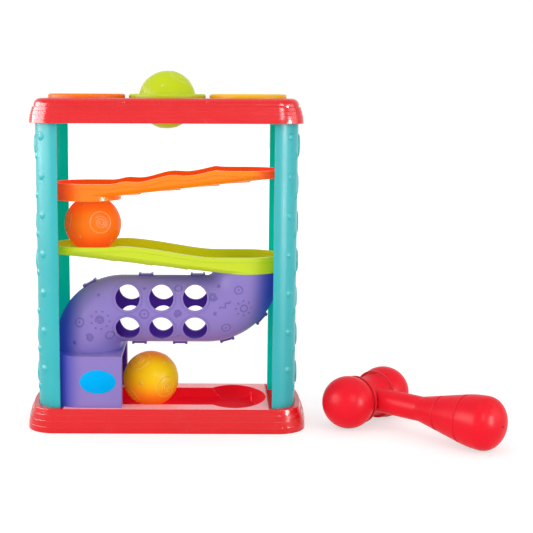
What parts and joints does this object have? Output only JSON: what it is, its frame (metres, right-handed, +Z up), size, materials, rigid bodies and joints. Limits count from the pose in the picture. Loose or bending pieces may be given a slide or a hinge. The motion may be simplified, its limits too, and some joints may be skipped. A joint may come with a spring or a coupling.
{
  "type": "ball pounding bench",
  "caption": "Toddler's pounding tower: balls knocked through soft rings in a deck roll down two ramps and a tunnel to a tray, with a mallet lying beside it.",
  "frame": {"origin": "on the floor, under the middle of the base tray, where its underside ribs cross", "axes": "+X along the bench to the right towards the mallet, +Y to the back, +Z up; the ramps' open fronts face -Y"},
  "size_m": [0.4861, 0.1925, 0.3704],
  "materials": {
    "red": "satin moulded plastic",
    "teal": "satin moulded plastic",
    "purple": "satin moulded plastic",
    "orange": "glossy moulded plastic",
    "green": "glossy moulded plastic",
    "soft_orange": "soft satin elastomer",
    "soft_green": "soft satin elastomer",
    "soft_yellow": "soft satin elastomer",
    "ball_green": "satin moulded plastic",
    "ball_orange": "satin moulded plastic",
    "ball_yellow": "satin moulded plastic",
    "mallet_red": "glossy blow-moulded plastic",
    "steel": "zinc-plated steel"
  },
  "bodies": {
    "bench": {"base_tray": "red", "left_side_panel": "teal", "right_side_panel": "teal", "top_deck": "red", "left_hole_ring": "soft_orange", "middle_hole_ring": "soft_green", "right_hole_ring": "soft_yellow", "upper_ramp": "orange", "lower_ramp": "green", "tunnel_front_shell": "purple", "tunnel_rear_shell": "purple", "exit_box": "purple", "panel_screws": "steel", "box_screws": "steel", "deck_screws": "steel"},
    "green_ball": {"green_ball": "ball_green"},
    "orange_ball": {"orange_ball": "ball_orange"},
    "yellow_ball": {"yellow_ball": "ball_yellow"},
    "mallet": {"mallet": "mallet_red"}
  },
  "joints": [
    {"name": "green_push", "type": "slide", "parent": "bench", "child": "green_ball", "axis": [0, 0, 1], "range_m": [-0.0591, 0.04], "deforming": ["middle_hole_ring"]},
    {"name": "orange_roll", "type": "slide", "parent": "bench", "child": "orange_ball", "axis": [0.9938, 0, -0.1115], "range_m": [0, 0.163]},
    {"name": "yellow_roll", "type": "slide", "parent": "bench", "child": "yellow_ball", "axis": [1, 0, 0], "range_m": [-0.06, 0.089]},
    {"name": "mallet_lift", "type": "slide", "parent": "bench", "child": "mallet", "axis": [0, 0, 1], "range_m": [0, 0.35]}
  ]
}
